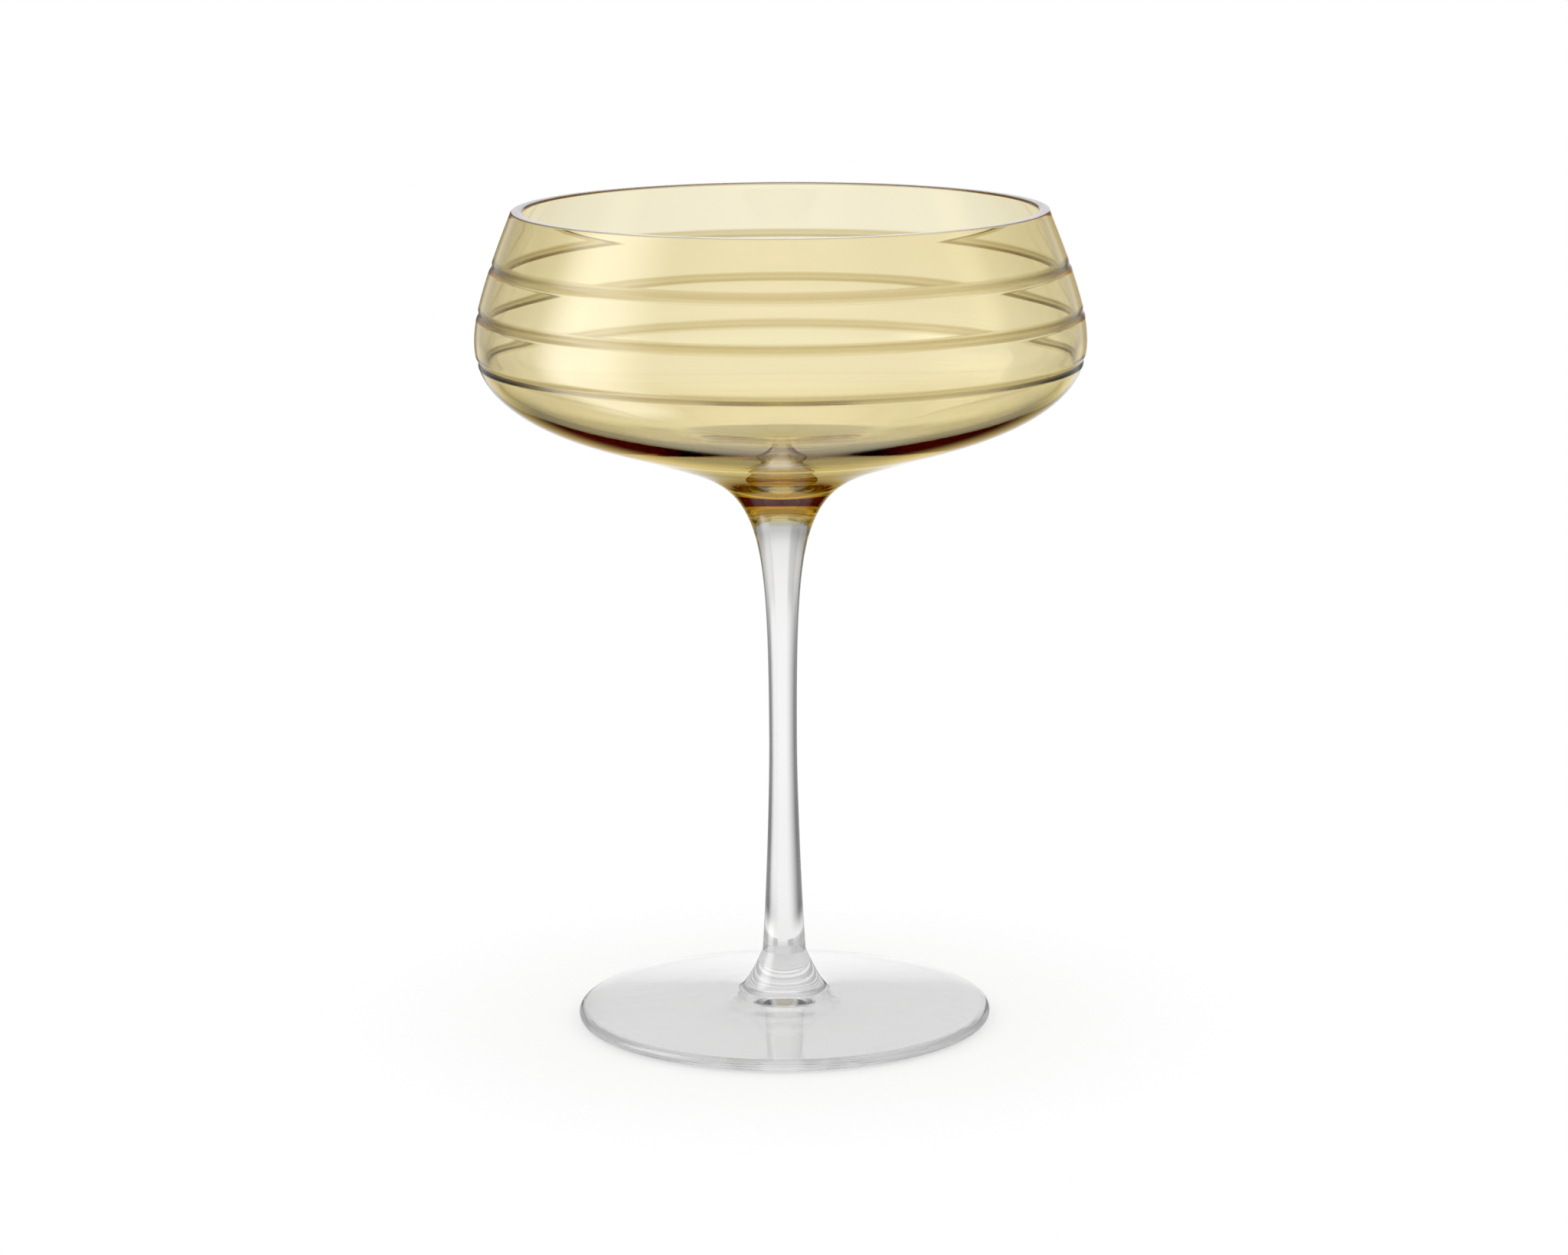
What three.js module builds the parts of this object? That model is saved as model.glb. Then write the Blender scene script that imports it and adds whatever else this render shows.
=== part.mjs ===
// A stemmed coupe of blown glass: an amber bowl with cut rings, a clear stem and a clear foot.
// Millimetres, +Z up. The origin is on the table, under the middle of the foot.
import * as THREE from 'three';

// Overall sizes
const overallHeight = 149;
const widestDiameter = 110;
const rimDiameter = 96.4;
const footDiameter = 75.7;

// Bowl: heights are measured down from the rim
const widestDrop = 23.4;
const undersideDrop = 43.4;
const undersideDiameter = 56;
const undersideSlope = 18;
const rimLean = 22;
const rimThickness = 2;
const lipRounding = 0.35;
const wallThickness = 1.7;
const floorThickness = 2;
const floorDish = 7;

// Rings cut round the outside of the bowl
const grooveCount = 3;
const firstGrooveDrop = 9.8;
const grooveSpacing = 8.4;
const grooveWidth = 1.8;
const grooveDepth = 0.4;
const grooveMargin = 0.45;

// Joint of the stem's domed head with the base of the bowl
const bowlLength = 56.2;
const headDiameter = 11.93;
const headDome = 3;
const headLean = 23.4;

// Stem and foot: heights are measured up from the table
const waistDiameter = 5.15;
const waistHeight = 51.95;
const heelDiameter = 7.95;
const heelLean = 3.8;
const hubHeight = 12.4;
const hubLean = 23;
const hubSpread = 17;
const footEdgeThickness = 2.2;
const footRise = 3;
const hollowRise = 2.5;
const hollowDiameter = 71.2;

// How far each curve keeps the direction of its ends, as a share of the distance between them
const rimPull = 0.55;
const widestPull = 0.2;
const bellyPull = 0.4;
const undersidePull = 0.23;
const neckPull = 0.525;
const neckBasePull = 0.333;
const headPull = 0.179;
const waistUpPull = 0.568;
const waistDownPull = 0.27;
const heelPull = 0.26;
const hubPull = 0.5;
const spreadPull = 0.12;
const hollowPull = 0.33;

// The part of the belly's curve in which the glass thins from the floor to the wall
const thinningStart = 0.35;
const thinningEnd = 0.8;

// How finely the curves are divided
const segments = 48;
const wallSteps = 9;
const bellySteps = 14;
const neckSteps = 8;
const lipSteps = 3;
const floorSteps = 7;
const domeSteps = 4;
const stemSteps = 8;
const edgeSteps = 6;
const hollowSteps = 6;
const hubSteps = 7;
const grooveSteps = 4;

// Places that follow from the sizes
const widestHeight = overallHeight - widestDrop;
const undersideHeight = overallHeight - undersideDrop;
const headHeight = overallHeight - bowlLength;
const spreadHeight = footEdgeThickness + footRise;

// The direction of an outline that climbs and leans outwards by an angle from the vertical
function leaning(degrees) {
  const angle = THREE.MathUtils.degToRad(degrees);
  return new THREE.Vector2(Math.sin(angle), Math.cos(angle));
}

// A curve between two points that leaves and arrives in given directions
function sweep(start, startDirection, startPull, end, endDirection, endPull) {
  const reach = start.distanceTo(end);
  const afterStart = startDirection.clone().multiplyScalar(startPull * reach).add(start);
  const beforeEnd = endDirection.clone().multiplyScalar(-endPull * reach).add(end);
  return new THREE.CubicBezierCurve(start, afterStart, beforeEnd, end);
}

// Points along a circular arc, from one angle to another in radians
function arcPoints(centre, radius, startAngle, endAngle, steps) {
  const points = [];
  for (let step = 0; step <= steps; step += 1) {
    const angle = startAngle + (endAngle - startAngle) * (step / steps);
    points.push(new THREE.Vector2(centre.x + radius * Math.cos(angle), centre.y + radius * Math.sin(angle)));
  }
  return points;
}

// Turns an outline about the upright axis and gives the solid its name and finish
function turnedPiece(name, outline, finish) {
  const onAxis = outline.map((point) => new THREE.Vector2(Math.max(point.x, 0), point.y));
  const geometry = new THREE.LatheGeometry(onAxis, segments);
  geometry.rotateX(Math.PI / 2);
  const piece = new THREE.Mesh(geometry, new THREE.MeshStandardMaterial(finish));
  piece.name = name;
  return piece;
}

// The domed joint, from the axis out to its edge: the stem's head and the bowl's seat share it
function domeOutline() {
  const edgeRadius = headDiameter / 2;
  const radius = (edgeRadius ** 2 + headDome ** 2) / (2 * headDome);
  const centre = new THREE.Vector2(0, headHeight + headDome - radius);
  const edgeAngle = Math.acos(edgeRadius / radius) * Math.sign(headHeight - centre.y);
  const points = arcPoints(centre, radius, Math.PI / 2, edgeAngle, domeSteps);
  points[0].x = 0;
  return points;
}

// The three curves of the bowl's outside: neck, belly and wall, from the joint up to the lip
const upright = new THREE.Vector2(0, 1);
const underside = leaning(90 - undersideSlope);
const lipAngle = THREE.MathUtils.degToRad(rimLean);
const lipCentre = new THREE.Vector2(
  rimDiameter / 2 - lipRounding * Math.cos(lipAngle),
  overallHeight - lipRounding,
);
const headEdge = new THREE.Vector2(headDiameter / 2, headHeight);
const undersidePoint = new THREE.Vector2(undersideDiameter / 2, undersideHeight);
const widestPoint = new THREE.Vector2(widestDiameter / 2, widestHeight);
const lipOuterPoint = new THREE.Vector2(rimDiameter / 2, lipCentre.y + lipRounding * Math.sin(lipAngle));
const neck = sweep(headEdge, leaning(headLean), neckBasePull, undersidePoint, underside, neckPull);
const belly = sweep(undersidePoint, underside, undersidePull, widestPoint, upright, bellyPull);
const wall = sweep(widestPoint, upright, widestPull, lipOuterPoint, leaning(-rimLean), rimPull);

// The radius of the uncut outside at a height, found by halving the curve that holds it
function outsideRadius(height) {
  const curve = height < widestHeight ? belly : wall;
  let low = 0;
  let high = 1;
  while (high - low > 1e-9) {
    const middle = (low + high) / 2;
    if (curve.getPoint(middle).y < height) {
      low = middle;
    } else {
      high = middle;
    }
  }
  return curve.getPoint(low).x;
}

// Points across one groove: a round-edged wheel leaves a circular hollow
function grooveOutline(height) {
  const halfWidth = grooveWidth / 2;
  const wheelRadius = (halfWidth ** 2 + grooveDepth ** 2) / (2 * grooveDepth);
  const points = [];
  for (let step = 0; step <= grooveSteps; step += 1) {
    const offset = halfWidth * ((2 * step) / grooveSteps - 1);
    const depth = Math.sqrt(wheelRadius ** 2 - offset ** 2) - wheelRadius + grooveDepth;
    points.push(new THREE.Vector2(outsideRadius(height + offset) - depth, height + offset));
  }
  return points;
}

// The outside of belly and wall with every groove cut into it, from the underside up to the lip
function ringedOutline() {
  const grooveHeights = Array.from(
    { length: grooveCount },
    (_, index) => overallHeight - firstGrooveDrop - index * grooveSpacing,
  );
  const smooth = [...belly.getPoints(bellySteps).slice(1), ...wall.getPoints(wallSteps).slice(1)];
  const clearance = grooveWidth / 2 + grooveMargin;
  const betweenGrooves = smooth.filter(
    (point) => grooveHeights.every((height) => Math.abs(point.y - height) > clearance),
  );
  const cuts = grooveHeights.flatMap(grooveOutline);
  return [...betweenGrooves, ...cuts].sort((lower, upper) => lower.y - upper.y);
}

// The inside of the bowl: the outside curves set in by the glass, then a dished floor
function insideOutline() {
  const setIn = (curve, steps, lowerThickness, upperThickness, changeStart, changeEnd) => {
    const points = [];
    for (let step = steps; step >= 0; step -= 1) {
      const share = step / steps;
      const tangent = curve.getTangent(share);
      const inward = new THREE.Vector2(-tangent.y, tangent.x);
      const change = THREE.MathUtils.smoothstep(share, changeStart, changeEnd);
      const thickness = THREE.MathUtils.lerp(lowerThickness, upperThickness, change);
      points.push(curve.getPoint(share).add(inward.multiplyScalar(thickness)));
    }
    return points;
  };
  const wallInside = setIn(wall, wallSteps, wallThickness, rimThickness, 0, 1);
  const bellyInside = setIn(belly, bellySteps, floorThickness, wallThickness, thinningStart, thinningEnd);
  const floorEdge = bellyInside.at(-1);
  const floorHeight = floorEdge.y - floorDish;
  const slope = Math.tan(THREE.MathUtils.degToRad(undersideSlope));
  const floorTurn = new THREE.Vector2(floorEdge.x - floorDish / slope, floorHeight);
  const floor = new THREE.QuadraticBezierCurve(floorEdge, floorTurn, new THREE.Vector2(0, floorHeight));
  return [...wallInside.slice(1), ...bellyInside.slice(1), ...floor.getPoints(floorSteps).slice(1)];
}

// The lip: a flat polished top with both corners rounded
function lipOutline() {
  const flatWidth = (rimThickness - 2 * lipRounding) / Math.cos(lipAngle);
  const innerCentre = new THREE.Vector2(lipCentre.x - flatWidth, lipCentre.y);
  const top = Math.PI / 2;
  return [
    ...arcPoints(lipCentre, lipRounding, lipAngle, top, lipSteps),
    ...arcPoints(innerCentre, lipRounding, top, Math.PI + lipAngle, lipSteps),
  ];
}

function makeBowl() {
  const outline = [
    ...domeOutline(),
    ...neck.getPoints(neckSteps).slice(1),
    ...ringedOutline(),
    ...lipOutline().slice(1),
    ...insideOutline(),
  ];
  return turnedPiece('bowl', outline, { color: '#e6cd86', roughness: 0.04, metalness: 0 });
}

function makeStem() {
  const heel = new THREE.Vector2(heelDiameter / 2, hubHeight);
  const waist = new THREE.Vector2(waistDiameter / 2, waistHeight);
  const lower = sweep(heel, leaning(-heelLean), heelPull, waist, upright, waistDownPull);
  const upper = sweep(waist, upright, waistUpPull, headEdge, leaning(headLean), headPull);
  const outline = [
    new THREE.Vector2(0, hubHeight),
    ...lower.getPoints(stemSteps),
    ...upper.getPoints(stemSteps).slice(1, -1),
    ...domeOutline().reverse(),
  ];
  return turnedPiece('stem', outline, { color: '#eef0f0', roughness: 0.04, metalness: 0 });
}

function makeFoot() {
  const edgeRadius = footEdgeThickness / 2;
  const edgeCentre = new THREE.Vector2(footDiameter / 2 - edgeRadius, edgeRadius);
  const hubTop = new THREE.Vector2(heelDiameter / 2, hubHeight);
  const spread = new THREE.Vector2(hubSpread / 2, spreadHeight);
  const coneAngle = Math.atan2(footRise, edgeCentre.x - spread.x);
  const edge = arcPoints(edgeCentre, edgeRadius, -Math.PI / 2, Math.PI / 2 - coneAngle, edgeSteps);
  const cone = new THREE.Vector2(-Math.cos(coneAngle), Math.sin(coneAngle));
  const hub = sweep(spread, cone, spreadPull, hubTop, leaning(-hubLean), hubPull);
  const hollowTop = new THREE.Vector2(0, hollowRise);
  const hollowRim = new THREE.Vector2(hollowDiameter / 2, 0);
  const outwards = new THREE.Vector2(1, 0);
  const hollow = sweep(hollowTop, outwards, hollowPull, hollowRim, cone.clone().negate(), hollowPull);
  const outline = [
    ...hollow.getPoints(hollowSteps),
    ...edge,
    ...hub.getPoints(hubSteps),
    new THREE.Vector2(0, hubHeight),
  ];
  return turnedPiece('foot', outline, { color: '#e9ecec', roughness: 0.04, metalness: 0 });
}

const coupe = new THREE.Group();
coupe.add(makeBowl(), makeStem(), makeFoot());

export default coupe;
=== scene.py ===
# %% [markdown]
# This lesson dresses a stemmed coupe of blown glass. On the bench it is three pieces that were joined hot: an
# amber bowl with three rings cut round its outside, a clear drawn stem and a clear round foot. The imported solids
# give the size and the place of each piece, and here each one is drawn again as a fine half outline and turned
# about the upright axis, because glass bends light and shows every facet of a coarse mesh.

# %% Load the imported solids
import math

import bpy
import numpy as np
from mathutils import Matrix, Vector
from mathutils.geometry import interpolate_bezier


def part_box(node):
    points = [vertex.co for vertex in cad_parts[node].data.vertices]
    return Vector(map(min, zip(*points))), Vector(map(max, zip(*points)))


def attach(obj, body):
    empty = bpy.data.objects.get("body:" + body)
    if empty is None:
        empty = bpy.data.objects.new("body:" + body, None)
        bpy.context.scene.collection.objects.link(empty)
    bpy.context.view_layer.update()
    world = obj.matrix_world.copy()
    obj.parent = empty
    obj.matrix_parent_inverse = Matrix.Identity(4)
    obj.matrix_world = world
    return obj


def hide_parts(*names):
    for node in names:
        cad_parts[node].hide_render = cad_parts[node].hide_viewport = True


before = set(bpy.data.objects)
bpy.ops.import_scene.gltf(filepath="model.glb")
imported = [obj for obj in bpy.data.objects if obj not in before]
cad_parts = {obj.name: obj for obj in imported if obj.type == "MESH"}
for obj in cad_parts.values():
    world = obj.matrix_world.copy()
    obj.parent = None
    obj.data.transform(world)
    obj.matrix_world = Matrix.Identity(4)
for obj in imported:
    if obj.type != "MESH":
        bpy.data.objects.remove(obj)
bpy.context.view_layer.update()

bowl_low, bowl_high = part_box("bowl")
stem_low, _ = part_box("stem")
_, foot_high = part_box("foot")
print("bowl from", bowl_low.z, "to", bowl_high.z, "and", 2 * bowl_high.x, "across, in metres")

# %% [markdown]
# A turned outline is a chain of straight runs, arcs and long sweeps. A sweep leaves one point in a direction and
# arrives at another in a direction, which is what a Bezier curve's two handles do. Leaning angles are measured
# from the upright, and a pull is the length of a handle as a share of the distance between the two ends.

# %% Curves of an outline
mm = 0.001


def leaning(degrees):
    """The direction of an outline that climbs and leans outwards by an angle from the upright."""
    angle = math.radians(degrees)
    return Vector((math.sin(angle), math.cos(angle)))


def sweep(start, start_lean, start_pull, end, end_lean, end_pull, steps):
    """Points of a curve that leaves and arrives in given directions."""
    reach = (end - start).length
    after_start = start + leaning(start_lean) * start_pull * reach
    before_end = end - leaning(end_lean) * end_pull * reach
    return [Vector(point) for point in interpolate_bezier(start, after_start, before_end, end, steps + 1)]


def arc(centre, radius, start_angle, end_angle, steps):
    """Points along a circle, from one angle to another in radians."""
    angles = np.linspace(start_angle, end_angle, steps + 1)
    return [centre + radius * Vector((math.cos(angle), math.sin(angle))) for angle in angles]


print("an upright outline runs along", leaning(0), "and a level one along", leaning(90))

# %% [markdown]
# Turning is the potter's and the glass blower's way of making a round thing, and Spin is Blender's. A single
# vertex is made by merging a small plane, it is extruded from point to point along the half outline, and the
# chain is spun once round. The seam and the two poles come out double, so doubles are merged, and then the
# normals are recalculated so that all faces point out of the glass.

# %% Drawing and turning
merge_distance = 0.002 * mm
sharp_degrees = 30


def draw_outline(name, points):
    """A new object in edit mode that holds the half outline as a chain of vertices above the X axis."""
    bpy.ops.object.select_all(action="DESELECT")
    bpy.ops.mesh.primitive_plane_add(size=mm)
    piece = bpy.context.object
    piece.name = name
    piece.data.name = name
    bpy.ops.object.mode_set(mode="EDIT")
    bpy.ops.mesh.select_all(action="SELECT")
    bpy.ops.mesh.merge(type="CENTER")
    bpy.ops.transform.translate(value=(points[0].x, 0, points[0].y))
    for before, after in zip(points, points[1:]):
        step = after - before
        bpy.ops.mesh.extrude_vertices_move(TRANSFORM_OT_translate={"value": (step.x, 0, step.y)})
    return piece


def turn(piece, steps):
    """Spins the outline round the upright axis, closes seam and poles, and shades the solid smooth."""
    bpy.ops.mesh.select_all(action="SELECT")
    bpy.ops.mesh.spin(steps=steps, angle=math.tau, center=(0, 0, 0), axis=(0, 0, 1))
    bpy.ops.mesh.select_all(action="SELECT")
    bpy.ops.mesh.remove_doubles(threshold=merge_distance)
    bpy.ops.mesh.normals_make_consistent(inside=False)
    bpy.ops.object.mode_set(mode="OBJECT")
    bpy.ops.object.shade_smooth_by_angle(angle=math.radians(sharp_degrees))
    edge_of_corner = np.zeros(len(piece.data.loops), np.int32)
    piece.data.loops.foreach_get("edge_index", edge_of_corner)
    open_edges = int((np.bincount(edge_of_corner, minlength=len(piece.data.edges)) != 2).sum())
    triangles = sum(len(face.vertices) - 2 for face in piece.data.polygons)
    print(piece.name, "has", triangles, "triangles and", open_edges, "open edges")


# %% [markdown]
# The domed joint between bowl and stem is shared by both pieces, so it comes first. The amber glass was
# gathered over the clear head while both were hot, and light crosses the fused joint without bending. A gap of
# air between the meshes would mirror the light, so they overlap by a hair: what the first face bends, the second
# one bends back.

# %% The domed joint
weld = 0.02 * mm
head_radius = 5.965 * mm
head_dome = 3.0 * mm
head_height = 92.8 * mm
dome_steps = 18
dome_radius = (head_radius**2 + head_dome**2) / (2 * head_dome)
dome_centre = Vector((0, head_height + head_dome - dome_radius))
dome = arc(dome_centre, dome_radius, math.pi / 2, math.acos(head_radius / dome_radius), dome_steps)
dome[0].x = 0
print("the joint is", 2 * head_radius, "across and", head_dome, "deep")

# %% [markdown]
# The bowl was blown, opened and then drawn in at the rim. Its outside is three sweeps: the neck that flares from
# the joint, the belly that swings round to the widest point, and the wall that leans in to the rim.

# %% Sizes of the bowl's outside
rim_height = bowl_high.z
rim_radius = 48.2 * mm
rim_lean = 22
rim_thickness = 2.0 * mm
lip_rounding = 0.35 * mm
widest_drop = 23.4 * mm
underside_drop = 43.4 * mm
underside_radius = 28.0 * mm
underside_lean = 72
head_lean = 23.4
neck_base_pull, neck_pull = 0.333, 0.525
underside_pull, belly_pull = 0.23, 0.4
widest_pull, rim_pull = 0.2, 0.55
neck_steps, belly_steps, wall_steps = 30, 44, 34
print("the rim is", 2 * rim_radius, "across at", rim_height)

# %% Outside curves of the bowl
widest = Vector((bowl_high.x, rim_height - widest_drop))
underside = Vector((underside_radius, rim_height - underside_drop))
lip_angle = math.radians(rim_lean)
lip_centre = Vector((rim_radius - lip_rounding * math.cos(lip_angle), rim_height - lip_rounding))
lip_outer = Vector((rim_radius, lip_centre.y + lip_rounding * math.sin(lip_angle)))
head_edge = Vector((head_radius, head_height - weld))
neck = sweep(head_edge, head_lean, neck_base_pull, underside, underside_lean, neck_pull, neck_steps)
belly = sweep(underside, underside_lean, underside_pull, widest, 0, belly_pull, belly_steps)
wall = sweep(widest, 0, widest_pull, lip_outer, -rim_lean, rim_pull, wall_steps)
print("the outside has", len(neck) + len(belly) + len(wall), "points")

# %% [markdown]
# Each ring is a shallow groove that a mitre-edged wheel cut into the wall while the bowl was turned against it. It
# could be a Boolean with a ring for a cutter, but that leaves slivers that show in glass, so the groove's own
# section replaces the wall's points there. Its bottom and its two corners are soft, as a worn wheel leaves them.

# %% Three cut rings
ring_count = 3
first_ring_drop = 9.8 * mm
ring_spacing = 8.4 * mm
ring_width = 1.8 * mm
ring_depth = 0.36 * mm
ring_reach = 0.7 * ring_width
ring_margin = 0.1 * mm
ring_steps = 24
bottom_softness = 0.03
corner_softness = 0.01
ring_heights = [rim_height - first_ring_drop - number * ring_spacing for number in range(ring_count)]
outside = belly + wall[1:]
outside_heights = [point.y for point in outside]
outside_radii = [point.x for point in outside]


def ring_outline(height):
    """Points across one groove, from its lower edge to its upper one."""
    points = []
    for offset in np.linspace(-ring_reach, ring_reach, ring_steps + 1):
        flank = 1 - math.sqrt((offset / (ring_width / 2)) ** 2 + bottom_softness)
        depth = ring_depth * (flank + math.sqrt(flank**2 + corner_softness)) / 2
        radius = np.interp(height + offset, outside_heights, outside_radii)
        points.append(Vector((radius - depth, height + offset)))
    return points


uncut = [
    point
    for point in outside[1:]
    if all(abs(point.y - height) > ring_reach + ring_margin for height in ring_heights)
]
cuts = [point for height in ring_heights for point in ring_outline(height)]
ringed = sorted(uncut + cuts, key=lambda point: point.y)
print("the ringed outside has", len(ringed), "points")

# %% [markdown]
# The inside follows the outside at the thickness of the glass. It is even over the underside, thins within the
# turn of the belly and gains again towards the rim. The middle of the floor is a dish over the joint.

# %% Inside of the bowl
wall_thickness = 1.7 * mm
floor_thickness = 2.0 * mm
floor_dish = 7.0 * mm
floor_steps = 26
thinning = (0.35, 0.8)


def set_in(points, lower_thickness, upper_thickness, change=(0, 1)):
    """The points moved into the bowl by a thickness that changes within a share of them, from the top one down."""
    moved = []
    for number, point in enumerate(points):
        before = points[max(number - 1, 0)]
        after = points[min(number + 1, len(points) - 1)]
        along = (after - before).normalized()
        share = (number / (len(points) - 1) - change[0]) / (change[1] - change[0])
        share = min(max(share, 0), 1)
        thickness = lower_thickness + (upper_thickness - lower_thickness) * share**2 * (3 - 2 * share)
        moved.append(point + thickness * Vector((-along.y, along.x)))
    return moved[::-1]


wall_inside = set_in(wall, wall_thickness, rim_thickness)
belly_inside = set_in(belly, floor_thickness, wall_thickness, thinning)
floor_edge = belly_inside[-1]
floor_slope = math.radians(90 - underside_lean)
floor_turn = Vector((floor_edge.x - floor_dish / math.tan(floor_slope), floor_edge.y - floor_dish))
floor_middle = Vector((0, floor_edge.y - floor_dish))
floor_points = [
    floor_edge * (1 - share) ** 2 + floor_turn * 2 * share * (1 - share) + floor_middle * share**2
    for share in np.linspace(0, 1, floor_steps + 1)
]
print("the floor of the bowl is at", floor_middle.y)

# %% [markdown]
# The rim was cut off level, ground flat and its two corners melted round in the flame. With the lip in place the
# whole outline runs from the seat of the joint up the outside, over the lip and down the inside to the floor.

# %% Lip and whole outline of the bowl
lip_steps = 7
bowl_segments = 320
flat_width = (rim_thickness - 2 * lip_rounding) / math.cos(lip_angle)
lip_inner_centre = lip_centre - Vector((flat_width, 0))
lip = arc(lip_centre, lip_rounding, lip_angle, math.pi / 2, lip_steps)
lip += arc(lip_inner_centre, lip_rounding, math.pi / 2, math.pi + lip_angle, lip_steps)
seat = [point - Vector((0, weld)) for point in dome]
bowl_outline = seat + neck[1:] + ringed + lip[1:] + wall_inside[1:] + belly_inside[1:] + floor_points[1:]
amber_bowl = draw_outline("amber_bowl", bowl_outline)
turn(amber_bowl, bowl_segments)

# %% [markdown]
# The stem was drawn out of a hot gather. It is thinnest halfway up, swells gently to the heel on the foot and
# more to the domed head in the bowl.

# %% Stem
heel_radius = 3.975 * mm
heel_lean = -3.8
waist_radius = 2.575 * mm
waist_height = 51.95 * mm
heel_pull, waist_down_pull = 0.26, 0.27
waist_up_pull, head_pull = 0.568, 0.179
stem_steps = 40
stem_segments = 192
heel = Vector((heel_radius, stem_low.z - weld))
waist = Vector((waist_radius, waist_height))
stem_top = Vector((head_radius, head_height))
lower_stem = sweep(heel, heel_lean, heel_pull, waist, 0, waist_down_pull, stem_steps)
upper_stem = sweep(waist, 0, waist_up_pull, stem_top, head_lean, head_pull, stem_steps)
stem_outline = [Vector((0, heel.y))] + lower_stem + upper_stem[1:] + dome[::-1][1:]
clear_stem = draw_outline("clear_stem", stem_outline)
turn(clear_stem, stem_segments)

# %% [markdown]
# The foot is a disc with a low cone, a fully rounded edge and a small hub that spreads from the heel of the stem.
# Its underside is hollowed to follow the cone, so it rests on a flat ring and shows the table through even glass.

# %% Foot
foot_radius = foot_high.x
edge_radius = 1.1 * mm
cone_rise = 3.0 * mm
hub_radius = 8.5 * mm
hub_lean = -23
hollow_rise = 2.5 * mm
hollow_radius = 35.6 * mm
spread_pull, hub_pull, hollow_pull = 0.12, 0.5, 0.33
edge_steps, cone_steps, hub_steps, hollow_steps = 20, 8, 40, 24
foot_segments = 256
edge_centre = Vector((foot_radius - edge_radius, edge_radius))
hub_edge = Vector((hub_radius, 2 * edge_radius + cone_rise))
hub_top = Vector((heel_radius, foot_high.z))
cone_angle = math.atan2(cone_rise, edge_centre.x - hub_radius)
cone_degrees = math.degrees(cone_angle)
edge = arc(edge_centre, edge_radius, -math.pi / 2, math.pi / 2 - cone_angle, edge_steps)
hub = sweep(hub_edge, cone_degrees - 90, spread_pull, hub_top, hub_lean, hub_pull, hub_steps)
cone = [edge[-1].lerp(hub_edge, share) for share in np.linspace(0, 1, cone_steps + 1)[1:-1]]
hollow_top = Vector((0, hollow_rise))
hollow_rim = Vector((hollow_radius, 0))
hollow = sweep(hollow_top, 90, hollow_pull, hollow_rim, 90 + cone_degrees, hollow_pull, hollow_steps)
foot_outline = hollow + edge + cone + hub + [Vector((0, foot_high.z))]
clear_foot = draw_outline("clear_foot", foot_outline)
turn(clear_foot, foot_segments)

# %% [markdown]
# Shader sums read best as sums. This small class wraps a socket, so that adding or multiplying two of them adds
# the Math node that does it, and one method adds any other node.

# %% Sums with sockets
class Wire:
    """A socket in a shader tree that can be added, subtracted, multiplied and divided."""

    def __init__(self, tree, socket=None):
        self.tree = tree
        self.socket = socket

    def node(self, kind, settings=None, inputs=None, output=0):
        """Adds a node, sets its settings, then its sockets by value or by link, and returns one output."""
        made = self.tree.nodes.new(kind)
        for name, value in (settings or {}).items():
            setattr(made, name, value)
        for name, value in (inputs or {}).items():
            if isinstance(value, Wire):
                self.tree.links.new(value.socket, made.inputs[name])
            else:
                made.inputs[name].default_value = value
        return Wire(self.tree, made.outputs[output] if made.outputs else None)

    def outputs(self, kind, inputs=None):
        """Adds a node and returns all its outputs by name."""
        made = self.node(kind, inputs=inputs).socket.node
        return {socket.name: Wire(self.tree, socket) for socket in made.outputs}

    def sum(self, operation, *values):
        """Adds a Math node."""
        return self.node("ShaderNodeMath", {"operation": operation}, dict(enumerate(values)))

    def __add__(self, other):
        return self.sum("ADD", self, other)

    def __radd__(self, other):
        return self.sum("ADD", other, self)

    def __sub__(self, other):
        return self.sum("SUBTRACT", self, other)

    def __rsub__(self, other):
        return self.sum("SUBTRACT", other, self)

    def __mul__(self, other):
        return self.sum("MULTIPLY", self, other)

    def __rmul__(self, other):
        return self.sum("MULTIPLY", other, self)

    def __truediv__(self, other):
        return self.sum("DIVIDE", self, other)

    def __rtruediv__(self, other):
        return self.sum("DIVIDE", other, self)

    def __abs__(self):
        return self.sum("ABSOLUTE", self)

    def ease(self, low, high):
        """0 below low, 1 above high and a soft step between them."""
        return self.node(
            "ShaderNodeMapRange",
            {"interpolation_type": "SMOOTHSTEP"},
            {"Value": self, "From Min": low, "From Max": high},
        )

    def between(self, start, full, fade, end):
        """1 from full to fade, and soft steps down to 0 at start and at end."""
        return self.ease(start, full) * (1 - self.ease(fade, end))


# %% [markdown]
# Glass shows its colour by depth: a thin wall is pale and a thick base is deep, so the tint is an absorption in
# the volume and hardly a colour of the surface. Blown glass is never quite true, so a faint, broad waviness bends
# what is seen through it, and the polish varies a little. The cut rings are left satin, and a painted shade mixes
# a darker tint into the surface colour over them, so that they look a little deeper. Each piece has one finish
# all over, because its depth belongs to one material.

# %% A glass finish
glass_ior = 1.5
wave_detail = 2.0
polish_grain, polish_detail = 90.0, 3.0
polish_range = (0.5, 0.9)
polish_roughness = 0.012
ring_satin = 0.2
# Painted shade: over the cut rings the surface colour is mixed towards this darker tint.
ring_shade_tint = (0.8, 0.73, 0.54, 1)
ring_fade = (0.3 * ring_width, 0.6 * ring_width)


def new_tree(name):
    """An empty material of that name, and a wire to build its nodes with."""
    material = bpy.data.materials.new(name)
    material.use_nodes = True
    material.node_tree.nodes.clear()
    return material, Wire(material.node_tree)


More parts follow.
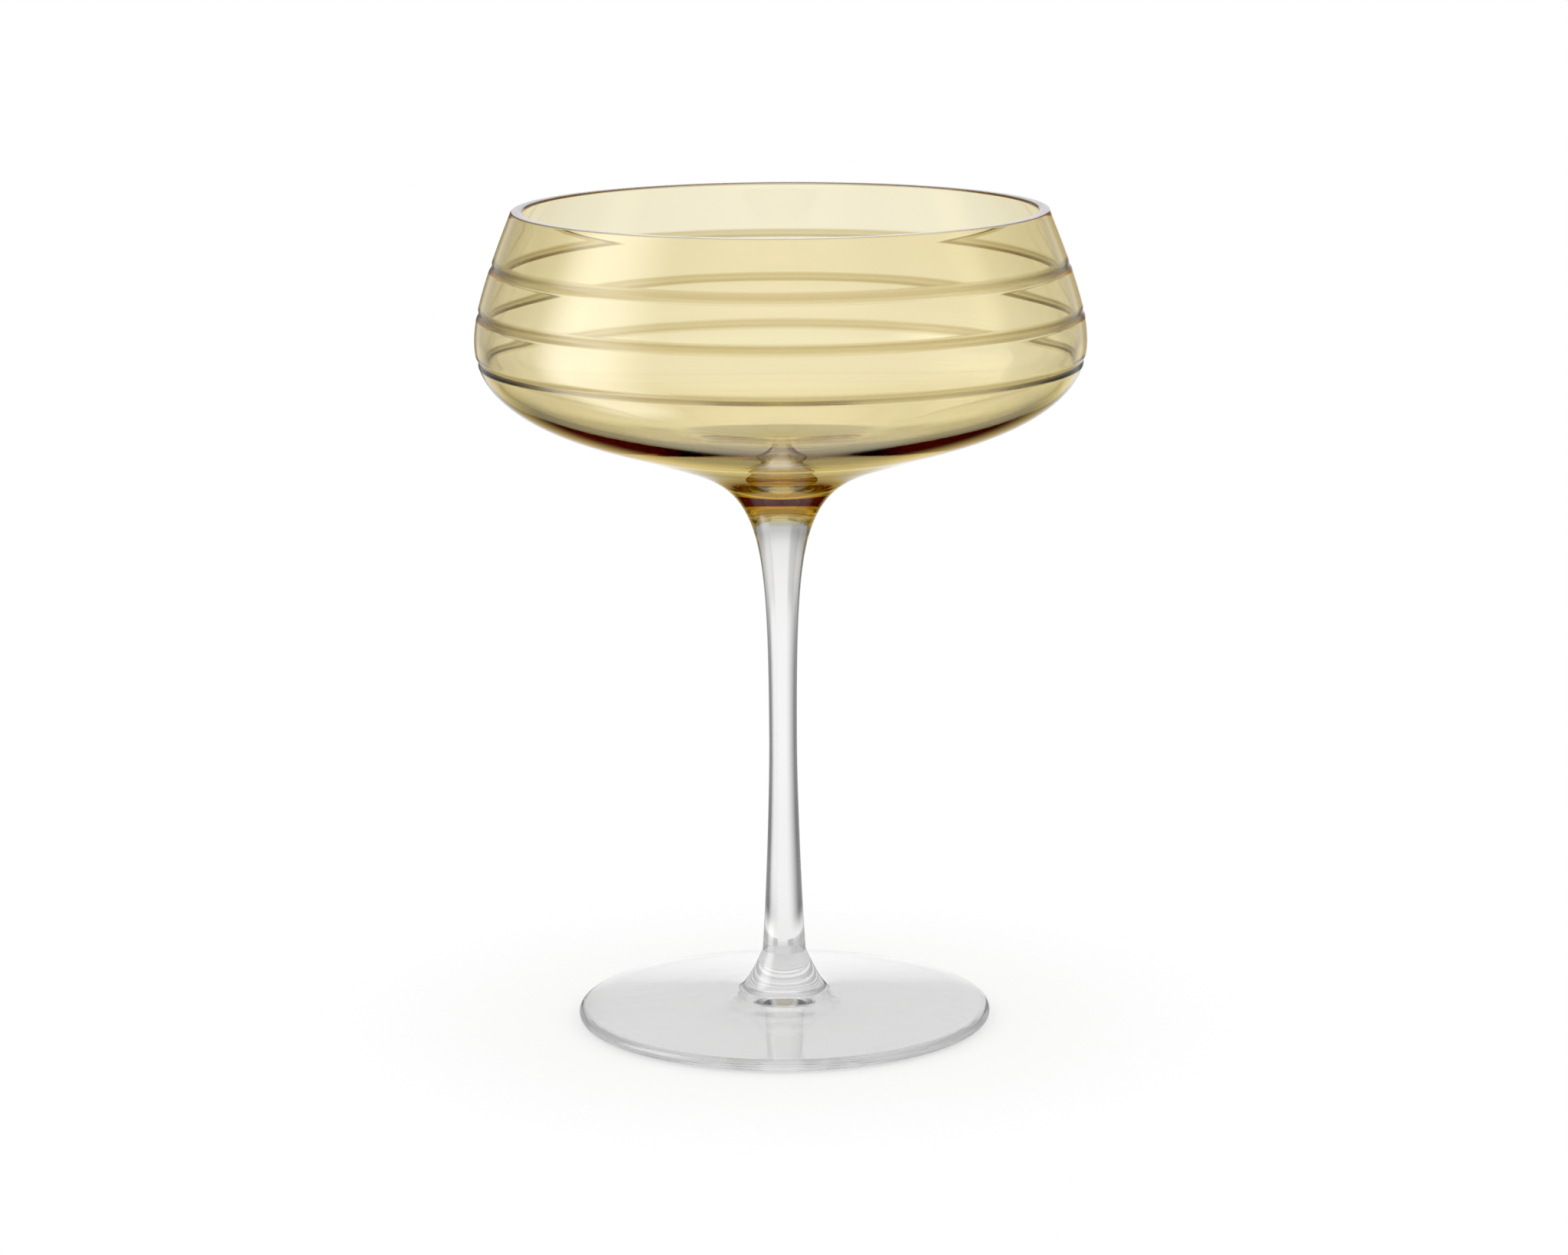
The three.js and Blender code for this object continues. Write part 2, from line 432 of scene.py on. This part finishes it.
def glass(name, surface_colour, depth_colour, density, wave_stretch, wave_height, rings=()):
    """Polished glass with the tint in its depth, a faint waviness, and satin rings with a painted shade at given
    heights.
    """
    material, start = new_tree(name)
    place = start.node("ShaderNodeTexCoord", output="Object")
    stretched = start.node("ShaderNodeMapping", inputs={"Vector": place, "Scale": wave_stretch})
    wave = start.node("ShaderNodeTexNoise", inputs={"Vector": stretched, "Scale": 1.0, "Detail": wave_detail})
    bump = start.node("ShaderNodeBump", inputs={"Height": wave, "Distance": wave_height})
    polish = start.node(
        "ShaderNodeTexNoise", inputs={"Vector": place, "Scale": polish_grain, "Detail": polish_detail}
    )
    roughness = polish.ease(*polish_range) * polish_roughness
    if rings:
        height = start.outputs("ShaderNodeSeparateXYZ", {"Vector": place})["Z"]
        cut_and_shade = sum(1 - abs(height - ring).ease(*ring_fade) for ring in rings)
        roughness = roughness + ring_satin * cut_and_shade
        # Over the rings the surface colour turns to the darker tint, a painted shade that makes them look deeper.
        surface_colour = start.node(
            "ShaderNodeMix", {"data_type": "RGBA"}, {0: cut_and_shade, 6: surface_colour, 7: ring_shade_tint}, output=2
        )
    surface = start.node(
        "ShaderNodeBsdfPrincipled",
        inputs={
            "Base Color": surface_colour,
            "Transmission Weight": 1.0,
            "IOR": glass_ior,
            "Roughness": roughness,
            "Normal": bump,
        },
    )
    inside = start.node("ShaderNodeVolumeAbsorption", inputs={"Color": depth_colour, "Density": density})
    start.node("ShaderNodeOutputMaterial", inputs={"Surface": surface, "Volume": inside})
    return material


# %% [markdown]
# The bowl is amber through and through. Stem and foot are of clear glass with a trace of grey, and the foot has
# less of it, because light runs a long way inside a disc before it leaves at the edge. The waviness is stretched
# along the stem, as the glass was drawn, and is strongest in the foot, which was squeezed flat between two boards.

# %% Finishes of the three pieces
amber_surface = (1, 0.99, 0.965, 1)
amber_depth = (0.86, 0.70, 0.0, 1)
clear_surface = (1, 1, 1, 1)
grey_depth = (0.44, 0.45, 0.44, 1)
amber_density, stem_density, foot_density = 172.0, 30.0, 5.0
bowl_waves, stem_waves, foot_waves = (30, 30, 45), (60, 60, 18), (70, 70, 70)
bowl_wave_height, stem_wave_height, foot_wave_height = 0.03 * mm, 0.008 * mm, 0.04 * mm
amber = glass(
    "amber_blown_glass", amber_surface, amber_depth, amber_density, bowl_waves, bowl_wave_height, ring_heights
)
clear = glass("clear_drawn_glass", clear_surface, grey_depth, stem_density, stem_waves, stem_wave_height)
foot_glass = glass("clear_foot_glass", clear_surface, grey_depth, foot_density, foot_waves, foot_wave_height)
for piece, finish in ((amber_bowl, amber), (clear_stem, clear), (clear_foot, foot_glass)):
    piece.data.materials.append(finish)
    print(piece.name, "is of", finish.name)

# %% [markdown]
# Bright-field light suits clear glass: a white surround, with grey cards at the sides that the edges of the
# glass bend into view as dark lines. The camera sees plain white, and so does everything dull. Only rays that
# glass bends or mirrors see the rest. Angles are in degrees: azimuth turns from +Y towards +X, aside is how far a
# ray is from the middle of the backdrop, behind is the same for the other end of the room, and rise is up from
# the horizon. A card is a soft band between four angles.

# %% Directions in the studio
to_degrees = 180 / math.pi
backdrop_azimuth = 3


def seen_in_glass(start):
    """1 for rays that glass bends or mirrors, 0 for what the camera and dull surfaces see."""
    path = start.outputs("ShaderNodeLightPath")
    return start.sum("MAXIMUM", path["Is Glossy Ray"], path["Is Transmission Ray"])


world = bpy.data.worlds.new("studio")
bpy.context.scene.world = world
world.use_nodes = True
world.node_tree.nodes.clear()
start = Wire(world.node_tree)
toward = start.node("ShaderNodeTexCoord", output="Generated")
axes = start.outputs("ShaderNodeSeparateXYZ", {"Vector": toward})
azimuth = start.sum("ARCTAN2", axes["X"], axes["Y"]) * to_degrees
rise = start.sum("ARCSINE", axes["Z"]) * to_degrees
aside = abs(azimuth - backdrop_azimuth)
behind = 180 - aside
through = start.outputs("ShaderNodeLightPath")["Is Transmission Ray"]
print("the middle of the backdrop is at", backdrop_azimuth, "degrees")

# %% [markdown]
# A real room has one brightness in each direction. Here a card has two shades, one for light that shows through
# the glass and one for light that it mirrors, in place of the many small flags that glass is lit with in a studio.
# Broad cards stand at both sides, and for light through the glass also at the other end of the room. Above the
# horizon they are lighter, but for the part that draws the outlines. Small cards beside the backdrop put soft
# grey lines into the stem and along the edges.

# %% Grey cards
broad_card, broad_rise = (8, 48, 76, 88), (-60, -40, 34, 50)
outline_card = (48, 64, 80, 90)
lighter_rise = (-13, -2)
broad_shade, lighter_share, outline_shade = 0.8, 0.5, 0.5
sides = aside.between(*broad_card)
all_sides = sides + behind.between(*broad_card)
outlines = aside.between(*outline_card)
tall = rise.between(*broad_rise)
lighter = rise.ease(*lighter_rise)
broad_seen = tall * (broad_shade * all_sides * (1 - lighter_share * lighter) + outline_shade * outlines * lighter)
broad_mirrored = broad_shade * sides * tall

small_card_seen, small_rise_seen = (12, 18, 28, 36), (-9, -5, 14, 24)
small_card_mirrored, small_rise_mirrored = (8, 12, 18, 26), (-14, -10, 14, 24)
small_shade_seen, small_shade_mirrored = 0.25, 0.85
small_seen = small_shade_seen * aside.between(*small_card_seen) * rise.between(*small_rise_seen)
small_mirrored = small_shade_mirrored * aside.between(*small_card_mirrored) * rise.between(*small_rise_mirrored)
print("the broad cards reach from", broad_card[0], "to", broad_card[-1], "degrees aside")

# %% [markdown]
# The backdrop is a little dimmer above the horizon, and the ceiling is bright where it is mirrored and grey where
# it shows through. Low down is the far table, grey through the glass and dark where it is mirrored. A thin bright
# strip just above the horizon keeps the top of the rim light, and one tall softbox at the left gives the bowl an
# upright highlight.

# %% Backdrop, far table and softbox
upper_rise, upper_shade = (2, 14, 34, 50), 0.3
ceiling_rise, ceiling_light, ceiling_shade = (42, 60), 0.3, 0.6
table_rise_seen, table_shade_seen = (-80, -55, -21, -18), 0.4
table_rise_mirrored = (-24, -12)
strip_rise, strip_fade, strip_light = (1, 3, 9, 12), (8, 12), 0.25
softbox_azimuth, softbox_rise = (-134, -106, -96, -72), (-66, -50, 38, 50)
softbox_seen, softbox_mirrored = 0.3, 4.0
ceiling = rise.ease(*ceiling_rise)
backdrop = (1 - upper_shade * rise.between(*upper_rise)) + ceiling_light * ceiling
table_seen = table_shade_seen * rise.between(*table_rise_seen)
table_mirrored = 1 - rise.ease(*table_rise_mirrored)
strip = strip_light * rise.between(*strip_rise) * (1 - aside.ease(*strip_fade))
softbox = azimuth.between(*softbox_azimuth) * rise.between(*softbox_rise)
print("the softbox adds", softbox_mirrored, "to mirrored light and", softbox_seen, "to light through the glass")

# %% [markdown]
# All of it comes together in one strength for the white surround. The bowl also throws amber light on the table,
# which shows as a warm reflection under the belly.

# %% Studio surround
amber_light = (0.7, 0.56, 0.2, 1)
amber_light_rise = (-34, -22)
seen = (1 - broad_seen) * (1 - small_seen) * (1 - table_seen) * (1 - ceiling_shade * ceiling)
mirrored = (1 - broad_mirrored) * (1 - small_mirrored) * (1 - table_mirrored) + strip
shade = backdrop * (through * seen + (1 - through) * mirrored)
shade = shade + softbox * (softbox_seen * through + softbox_mirrored * (1 - through))
strength = 1 - seen_in_glass(start) * (1 - shade)
white = start.node("ShaderNodeBackground", inputs={"Color": (1, 1, 1, 1), "Strength": strength})
warmth = (1 - through) * seen_in_glass(start) * table_mirrored * rise.ease(*amber_light_rise)
warm = start.node("ShaderNodeBackground", inputs={"Color": amber_light, "Strength": warmth})
surround = start.node("ShaderNodeAddShader", inputs={0: white, 1: warm})
start.node("ShaderNodeOutputWorld", inputs={"Surface": surround})
print("the surround has", len(world.node_tree.nodes), "nodes")

# %% [markdown]
# The table is a pale round top that fades into the white surround, so that only the soft shadow by the foot is
# left of it. It is half lit and half glowing, which keeps the shadow light. Through the glass it is a little
# brighter, to make up for the light that the foot keeps from it, and a painted shade turns it dark grey at
# both sides, where the lower stem bends it into view. Where glass mirrors it, it is a flat glow of half white,
# a painted shade in place of its lit top.

# %% Table top
table_radius = 160 * mm
table_drop = 0.3 * mm
table_corners = 128
bpy.ops.object.select_all(action="DESELECT")
bpy.ops.mesh.primitive_circle_add(
    vertices=table_corners, radius=table_radius, fill_type="NGON", location=(0, 0, -table_drop)
)
floor = bpy.context.object
floor.name = "table_top"
print("the table top is", 2 * table_radius, "across")

# %% Finish of the table top
table_colour = (0.5, 0.5, 0.5, 1)
glow_colour = (0.515, 0.515, 0.515, 1)
glow_through_glass = (0.53, 0.53, 0.53, 1)
# Painted shade: where glass mirrors the table, it shows as this flat, dimmer glow instead of its lit top.
mirrored_shade_colour = (0.5, 0.5, 0.5, 1)
# Painted shade: seen through the glass, the table glows this dark grey at both sides, beyond the foot.
side_shade_colour = (0.2, 0.2, 0.2, 1)
side_shade_azimuth, side_shade_reach = (8, 40, 90, 110), (44 * mm, 60 * mm)
fade_reach = (50 * mm, 90 * mm)


def mixed(start, factor, first, second):
    """The first shader where the factor is 0 and the second where it is 1."""
    return start.node("ShaderNodeMixShader", inputs={0: factor, 1: first, 2: second})


pale, start = new_tree("pale_table")
place = start.node("ShaderNodeTexCoord", output="Object")
reach = start.node("ShaderNodeVectorMath", {"operation": "LENGTH"}, {0: place}, output="Value")
axes = start.outputs("ShaderNodeSeparateXYZ", {"Vector": place})
# Mask of the painted side shade: the two sides of the table, by azimuth round the axis.
beside = abs(start.sum("ARCTAN2", axes["X"], axes["Y"]) * to_degrees).between(*side_shade_azimuth)
through = start.outputs("ShaderNodeLightPath")["Is Transmission Ray"]
dull = start.node("ShaderNodeBsdfDiffuse", inputs={"Color": table_colour})
glow = start.node("ShaderNodeEmission", inputs={"Color": glow_colour})
glass_glow = start.node("ShaderNodeEmission", inputs={"Color": glow_through_glass})
painted_side_shade = start.node("ShaderNodeEmission", inputs={"Color": side_shade_colour})
painted_mirror_shade = start.node("ShaderNodeEmission", inputs={"Color": mirrored_shade_colour})
plain_view = start.node("ShaderNodeAddShader", inputs={0: dull, 1: glow})
glass_view = start.node("ShaderNodeAddShader", inputs={0: dull, 1: glass_glow})
glass_view = mixed(start, beside * reach.ease(*side_shade_reach), glass_view, painted_side_shade)
glass_view = mixed(start, through, painted_mirror_shade, glass_view)
view = mixed(start, seen_in_glass(start), plain_view, glass_view)
nothing = start.node("ShaderNodeBsdfTransparent")
faded = mixed(start, reach.ease(*fade_reach), view, nothing)
start.node("ShaderNodeOutputMaterial", inputs={"Surface": faded})
floor.data.materials.append(pale)
print("the table fades out", fade_reach[1], "from the middle of the foot")

# %% [markdown]
# The camera is the one that took the photograph, as far as the outline tells: the ellipses of rim and foot give
# its height and its tilt, and their difference gives its distance.

# %% Camera
photo_width = 2048
focal_pixels = 5978
sensor_width = 36.0
camera_tilt = 11.30
camera_roll = -0.31
camera_place = Vector((0.27 * mm, -816 * mm, 235.8 * mm))
camera_data = bpy.data.cameras.new("camera")
camera = bpy.data.objects.new("camera", camera_data)
bpy.context.scene.collection.objects.link(camera)
bpy.context.scene.camera = camera
camera_data.sensor_width = sensor_width
camera_data.lens = focal_pixels / photo_width * sensor_width
tilted = Matrix.Rotation(math.radians(90 - camera_tilt), 4, "X")
rolled = Matrix.Rotation(math.radians(camera_roll), 4, "Z")
camera.matrix_world = Matrix.Translation(camera_place) @ tilted @ rolled
print("the camera has a lens of", camera_data.lens, "mm")

# %% [markdown]
# Light that enters a rim or an edge can run round inside the glass and be mirrored many times before it leaves.
# Cut short it would leave black patches, so the limits on bounces are high.

# %% View and bounces
light_bounces = 128
clear_bounces = 32
scene = bpy.context.scene
scene.view_settings.view_transform = "Standard"
scene.cycles.max_bounces = light_bounces
scene.cycles.transmission_bounces = light_bounces
scene.cycles.glossy_bounces = light_bounces
scene.cycles.transparent_max_bounces = clear_bounces
print("light is followed for", scene.cycles.max_bounces, "bounces")

# %% [markdown]
# Each turned piece stands for one of the imported solids, which is hidden. Nothing in the glass moves, so all
# three ride on the one body.

# %% Pieces in place of the solids
for piece, node, slot in (
    (amber_bowl, "bowl", "amber_glass"),
    (clear_stem, "stem", "clear_glass"),
    (clear_foot, "foot", "clear_glass"),
):
    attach(piece, "root")
    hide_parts(node)
    print(piece.name, "stands for", node)
